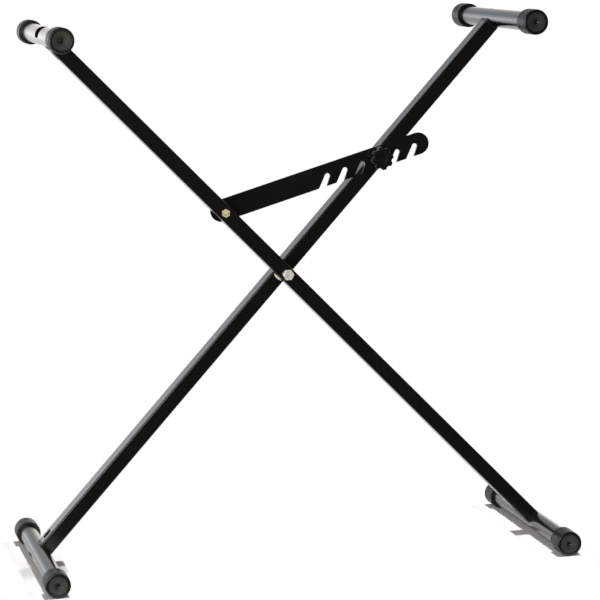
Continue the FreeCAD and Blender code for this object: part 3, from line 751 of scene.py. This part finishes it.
def make_pivot_bolt(node, nut):
    """The pivot bolt: a cupped head in front, a plain shank, a threaded end behind."""
    front, back = ends_of(node)
    seat = front + PIVOT_HEAD
    radius = reach_of(nut, min) - THREAD_PLAY
    head = hexagon_piece(front, seat, PIVOT_FLATS, HEAD_TURN, cup=0.35 * MM)
    shank = turned([(seat, 0.0), (seat, radius)]
                   + thread(ends_of(nut)[0], back, radius, PIVOT_PITCH))
    finish_piece(node + "_forged", joined(head, shank), zinc, node, on_axis(node), 25.0)


def make_lock_nut(node):
    """A nut with a nylon collar that grips the thread."""
    start, stop = ends_of(node)
    top = stop - COLLAR
    bore = reach_of(node, min)
    body = hexagon_piece(start, top, PIVOT_FLATS, LOCK_NUT_TURN, back=True, bore=bore)
    crown = turned([(top, bore), (top, 6.0 * MM), (stop - 0.5 * MM, 5.9 * MM),
                    (stop, 5.4 * MM), (stop, 4.9 * MM), (stop - 0.3 * MM, 4.8 * MM),
                    (stop - 0.3 * MM, bore), (top, bore)])
    for face in crown.faces:
        centre = face.calc_center_median()
        ring = math.hypot(centre.x, centre.z) < COLLAR_RING and centre.y > top + 0.1 * MM
        face.material_index = 1 if ring else 0
    piece = finish_piece(node + "_collared", joined(body, crown), zinc, node,
                         on_axis(node), 25.0)
    piece.data.materials.append(white_nylon)


make_pivot_bolt("pivot_bolt", "pivot_lock_nut")
make_lock_nut("pivot_lock_nut")

# %% [markdown]
# ## The plate's bolt, its nut and the stud
#
# The plate turns on a bolt with a low round head behind it. Its end comes forward through
# the arm and stands a little proud of a small nut. The stud is a bolt with its head at
# the back of the rear arm, and its thread runs forward into the knob. They are made the
# same way as the pivot bolt, from their own sizes.

# %% Plate bolt, its nut and the stud
SMALL_FLATS = 10.0 * MM
SMALL_RADIUS = 3.0 * MM
SMALL_PITCH = 1.0 * MM
PLATE_BOLT_HEAD = 6.0 * MM
PLATE_NUT_TURN = 0.0
STUD_TURN = 16.8


def make_plate_bolt(node):
    """A low round head behind the plate and a threaded end in front of the nut."""
    front, back = ends_of(node)
    seat = ends_of("locking_plate")[1]
    head = PLATE_BOLT_HEAD
    low = back - seat
    profile = thread(ends_of("front_arm")[0], front, SMALL_RADIUS, SMALL_PITCH)[::-1]
    profile += [(seat, SMALL_RADIUS), (seat, head - 0.2 * MM), (seat + 0.2 * MM, head),
                (seat + low * 0.4, head), (seat + low * 0.8, head * 0.8),
                (back, head * 0.45), (back, 0.0)]
    finish_piece(node + "_turned", turned(profile), yellow_zinc, node, on_axis(node))


def make_plate_nut(node):
    """A plain chamfered nut."""
    start, stop = ends_of(node)
    body = hexagon_piece(start, stop, SMALL_FLATS, PLATE_NUT_TURN, bore=reach_of(node, min))
    finish_piece(node + "_chamfered", body, yellow_zinc, node, on_axis(node), 25.0)


def make_stud(node):
    """A bolt whose head is at the back and whose thread runs forward into the knob."""
    front, back = ends_of(node)
    seat = ends_of("rear_arm")[1]
    head = hexagon_piece(seat, back, SMALL_FLATS, STUD_TURN, front=False, back=True)
    shank = turned([(seat, 0.0), (seat, SMALL_RADIUS)]
                   + thread(ends_of("stud_washer")[0], front, SMALL_RADIUS, SMALL_PITCH))
    finish_piece(node + "_threaded", joined(head, shank), zinc, node, on_axis(node), 25.0)


make_plate_bolt("plate_bolt")
make_plate_nut("plate_nut")
make_stud("knob_stud")

# %% [markdown]
# ## The camera
#
# A long lens from a little above and to the left. Its place was fitted to the arms and the
# eight caps, so the stand fills the frame as it does in the photograph. It could be aimed
# at the stand's middle by a constraint, but fixed numbers give the same picture each time.

# %% Camera
SENSOR, LENS = 36.0, 161.2
CAMERA_PLACE = (-0.7560, -3.5595, 0.8614)
YAW, PITCH, ROLL = (math.radians(angle) for angle in (-12.342, -8.050, -1.742))
camera_data = bpy.data.cameras.new("camera")
camera_data.sensor_width = SENSOR
camera_data.lens = LENS
camera_data.clip_end = 50.0
camera = bpy.data.objects.new("camera", camera_data)
bpy.context.scene.collection.objects.link(camera)
camera.matrix_world = (Matrix.Translation(CAMERA_PLACE)
                       @ Matrix.Rotation(YAW, 4, "Z")
                       @ Matrix.Rotation(math.pi / 2 + PITCH, 4, "X")
                       @ Matrix.Rotation(ROLL, 4, "Z"))
bpy.context.scene.camera = camera
print("camera with a lens of", LENS, "mm")

# %% [markdown]
# ## A white studio
#
# The stand was photographed on a white sweep in a room that is dark behind the camera. The
# black paint tells us so: what faces the lens stays black, and what faces the sweep is
# pale. So the world is white to the camera. For reflections it is a bright sweep, brightest
# at the horizon, that falls off to a dark room on the camera's side. Daylight comes from
# above and from the left, so what mirrors those sides looks a little blue. One flat white
# world would be simpler, but it would turn the black paint grey from every side.

# %% World
AMBIENT = 0.22
HORIZON = 2.2
SWEEP = 0.78
ROOM = 0.03
ROOM_EDGE, SWEEP_EDGE = -0.4, 0.5  # along Y, from the dark room to the bright sweep
HORIZON_RISE = 0.24  # how far up and down the horizon's glow reaches
LEFTWARD = -0.7  # how much looking left counts beside looking up
COOL_START, COOL_END = 0.1, 0.25  # from warm to cool light


def make_world():
    """White for the camera, a sweep and a dark room for reflections, else ambient."""
    world = bpy.data.worlds.new("studio")
    world.use_nodes = True
    tree = world.node_tree
    tree.nodes.clear()
    way = add_node(tree, "ShaderNodeTexCoord").outputs["Generated"]
    split = add_node(tree, "ShaderNodeSeparateXYZ", {"Vector": way})
    room = add_node(tree, "ShaderNodeMapRange", {"Value": split.outputs["Y"]},
                    interpolation_type="SMOOTHSTEP",
                    **{"From Min": ROOM_EDGE, "From Max": SWEEP_EDGE,
                       "To Min": ROOM, "To Max": 1.0})
    rise = add_node(tree, "ShaderNodeMath", {0: split.outputs["Z"]}, operation="ABSOLUTE")
    sweep = add_node(tree, "ShaderNodeMapRange", {"Value": rise.outputs[0]},
                     interpolation_type="SMOOTHSTEP",
                     **{"From Min": 0.0, "From Max": HORIZON_RISE,
                        "To Min": HORIZON, "To Max": SWEEP})
    glow = add_node(tree, "ShaderNodeMath", {0: room.outputs["Result"],
                                             1: sweep.outputs["Result"]},
                    operation="MULTIPLY")
    left = add_node(tree, "ShaderNodeMath", {0: split.outputs["X"], 2: rise.outputs[0]},
                    operation="MULTIPLY_ADD")
    left.inputs[1].default_value = LEFTWARD
    cool = add_node(tree, "ShaderNodeMapRange", {"Value": left.outputs[0]},
                    **{"From Min": COOL_START, "From Max": COOL_END})
    daylight = add_node(tree, "ShaderNodeValToRGB", {"Fac": cool.outputs["Result"]})
    daylight.color_ramp.elements[0].color = colour("#fffaf3")
    daylight.color_ramp.elements[1].color = colour("#e6ecf2")
    mirrored = add_node(tree, "ShaderNodeBackground",
                        {"Color": daylight.outputs["Color"], "Strength": glow.outputs[0]})
    ambient = add_node(tree, "ShaderNodeBackground", Color=colour("#fff4ea"),
                       Strength=AMBIENT)
    seen = add_node(tree, "ShaderNodeBackground", Color=colour("#ffffff"),
                    Strength=1.0)
    ray = add_node(tree, "ShaderNodeLightPath").outputs
    sharp = add_node(tree, "ShaderNodeMath", {0: ray["Is Glossy Ray"],
                                              1: ray["Is Transmission Ray"]},
                     operation="MAXIMUM")
    lit = add_node(tree, "ShaderNodeMixShader", {0: sharp.outputs[0],
                                                 1: ambient.outputs[0],
                                                 2: mirrored.outputs[0]})
    whole = add_node(tree, "ShaderNodeMixShader", {0: ray["Is Camera Ray"],
                                                   1: lit.outputs[0],
                                                   2: seen.outputs[0]})
    add_node(tree, "ShaderNodeOutputWorld", {"Surface": whole.outputs[0]})
    bpy.context.scene.world = world


make_world()
print("world made")

# %% [markdown]
# ## The floor
#
# The floor is a white sheet. In the photograph it is overexposed, so only the shadow close
# to what touches it is left. Stronger lamps would do the same, but they would bleach the
# stand too. So we keep the lamps plain: near a contact, where the floor is shut in, the
# camera sees it as it is lit, and everywhere else it looks through to the white world. So
# a foot that swings below the floor when the stand is folded is still seen. Reflections
# show the sheet white, and dark in front of the stand, where the room's shade begins.

# %% Floor
CONTACT = 26.0 * MM
OPEN_SHARE, SHUT_SHARE = 0.97, 0.93  # how open the floor is where its shadow fades in
FLOOR_HALF = 3.0
FLOOR_FRONT, FLOOR_BACK = -0.22, 5.0
SHADE_START, SHADE_END = -0.16, -0.06  # along Y, from the room's shade to the white


def make_floor():
    """A white sheet that keeps only the shadows close to what touches it."""
    mesh = bmesh.new()
    bmesh.ops.create_grid(mesh, x_segments=1, y_segments=1, size=1.0)
    mesh.transform(Matrix.Translation((0, (FLOOR_BACK + FLOOR_FRONT) / 2, 0))
                   @ Matrix.Diagonal((FLOOR_HALF, (FLOOR_BACK - FLOOR_FRONT) / 2, 1, 1)))
    floor = shape_from(mesh, "floor")
    material = bpy.data.materials.new("white_sweep")
    material.use_nodes = True
    tree = material.node_tree
    tree.nodes.clear()
    matt = add_node(tree, "ShaderNodeBsdfDiffuse", Color=colour("#ffffff"))
    clear = add_node(tree, "ShaderNodeBsdfTransparent")
    place = add_node(tree, "ShaderNodeTexCoord").outputs["Object"]
    split = add_node(tree, "ShaderNodeSeparateXYZ", {"Vector": place})
    shade = add_node(tree, "ShaderNodeMapRange", {"Value": split.outputs["Y"]},
                     **{"From Min": SHADE_START, "From Max": SHADE_END,
                        "To Min": ROOM, "To Max": 1.0})
    white = add_node(tree, "ShaderNodeEmission", {"Strength": shade.outputs["Result"]},
                     Color=colour("#ffffff"))
    shut = add_node(tree, "ShaderNodeAmbientOcclusion", Distance=CONTACT, samples=32)
    near = add_node(tree, "ShaderNodeMapRange", {"Value": shut.outputs["AO"]},
                    **{"From Min": OPEN_SHARE, "From Max": SHUT_SHARE,
                       "To Min": 0.0, "To Max": 1.0})
    ray = add_node(tree, "ShaderNodeLightPath").outputs
    open_floor = add_node(tree, "ShaderNodeMixShader", {0: ray["Is Camera Ray"],
                                                        1: white.outputs[0],
                                                        2: clear.outputs[0]})
    seen = add_node(tree, "ShaderNodeMath", {0: ray["Is Camera Ray"],
                                             1: ray["Is Glossy Ray"]},
                    operation="MAXIMUM")
    photo = add_node(tree, "ShaderNodeMixShader", {0: near.outputs["Result"],
                                                   1: open_floor.outputs[0],
                                                   2: matt.outputs[0]})
    whole = add_node(tree, "ShaderNodeMixShader", {0: seen.outputs[0],
                                                   1: matt.outputs[0],
                                                   2: photo.outputs[0]})
    add_node(tree, "ShaderNodeOutputMaterial", {"Surface": whole.outputs[0]})
    floor.data.materials.append(material)


make_floor()
print("floor made")

# %% [markdown]
# ## The lamps
#
# One lamp hangs far overhead, a little to the right, so the bars throw a short sharp
# shadow to their left. It isn't mirrored, because so small a lamp would glare in the paint
# from some sides. A wide soft one stands in front on the left and brings out the bolts.
# A small one would do that too, but it would leave a bright line along the tubes' corners.

# %% Lamps
def make_lamp(name, place, target, size, power, mirrored=True):
    """A round area lamp that looks at a point."""
    data = bpy.data.lights.new(name, "AREA")
    data.shape = "DISK"
    data.size = size
    data.energy = power
    lamp = bpy.data.objects.new(name, data)
    bpy.context.scene.collection.objects.link(lamp)
    look = Vector(target) - Vector(place)
    lamp.matrix_world = (Matrix.Translation(place)
                         @ look.to_track_quat("-Z", "Y").to_matrix().to_4x4())
    lamp.visible_glossy = mirrored
    print(name, "lamp of", power, "W")


make_lamp("overhead", (0.7, -0.1, 8.0), (0, 0, 0), 1.0, 540.0, mirrored=False)
make_lamp("front", (-1.5, -2.6, 0.9), (0, 0, 0.4), 1.7, 52.0)

# %% [markdown]
# ## Finish
#
# The standard view transform shows each colour as it is written.

# %% Finish
bpy.context.scene.view_settings.view_transform = "Standard"
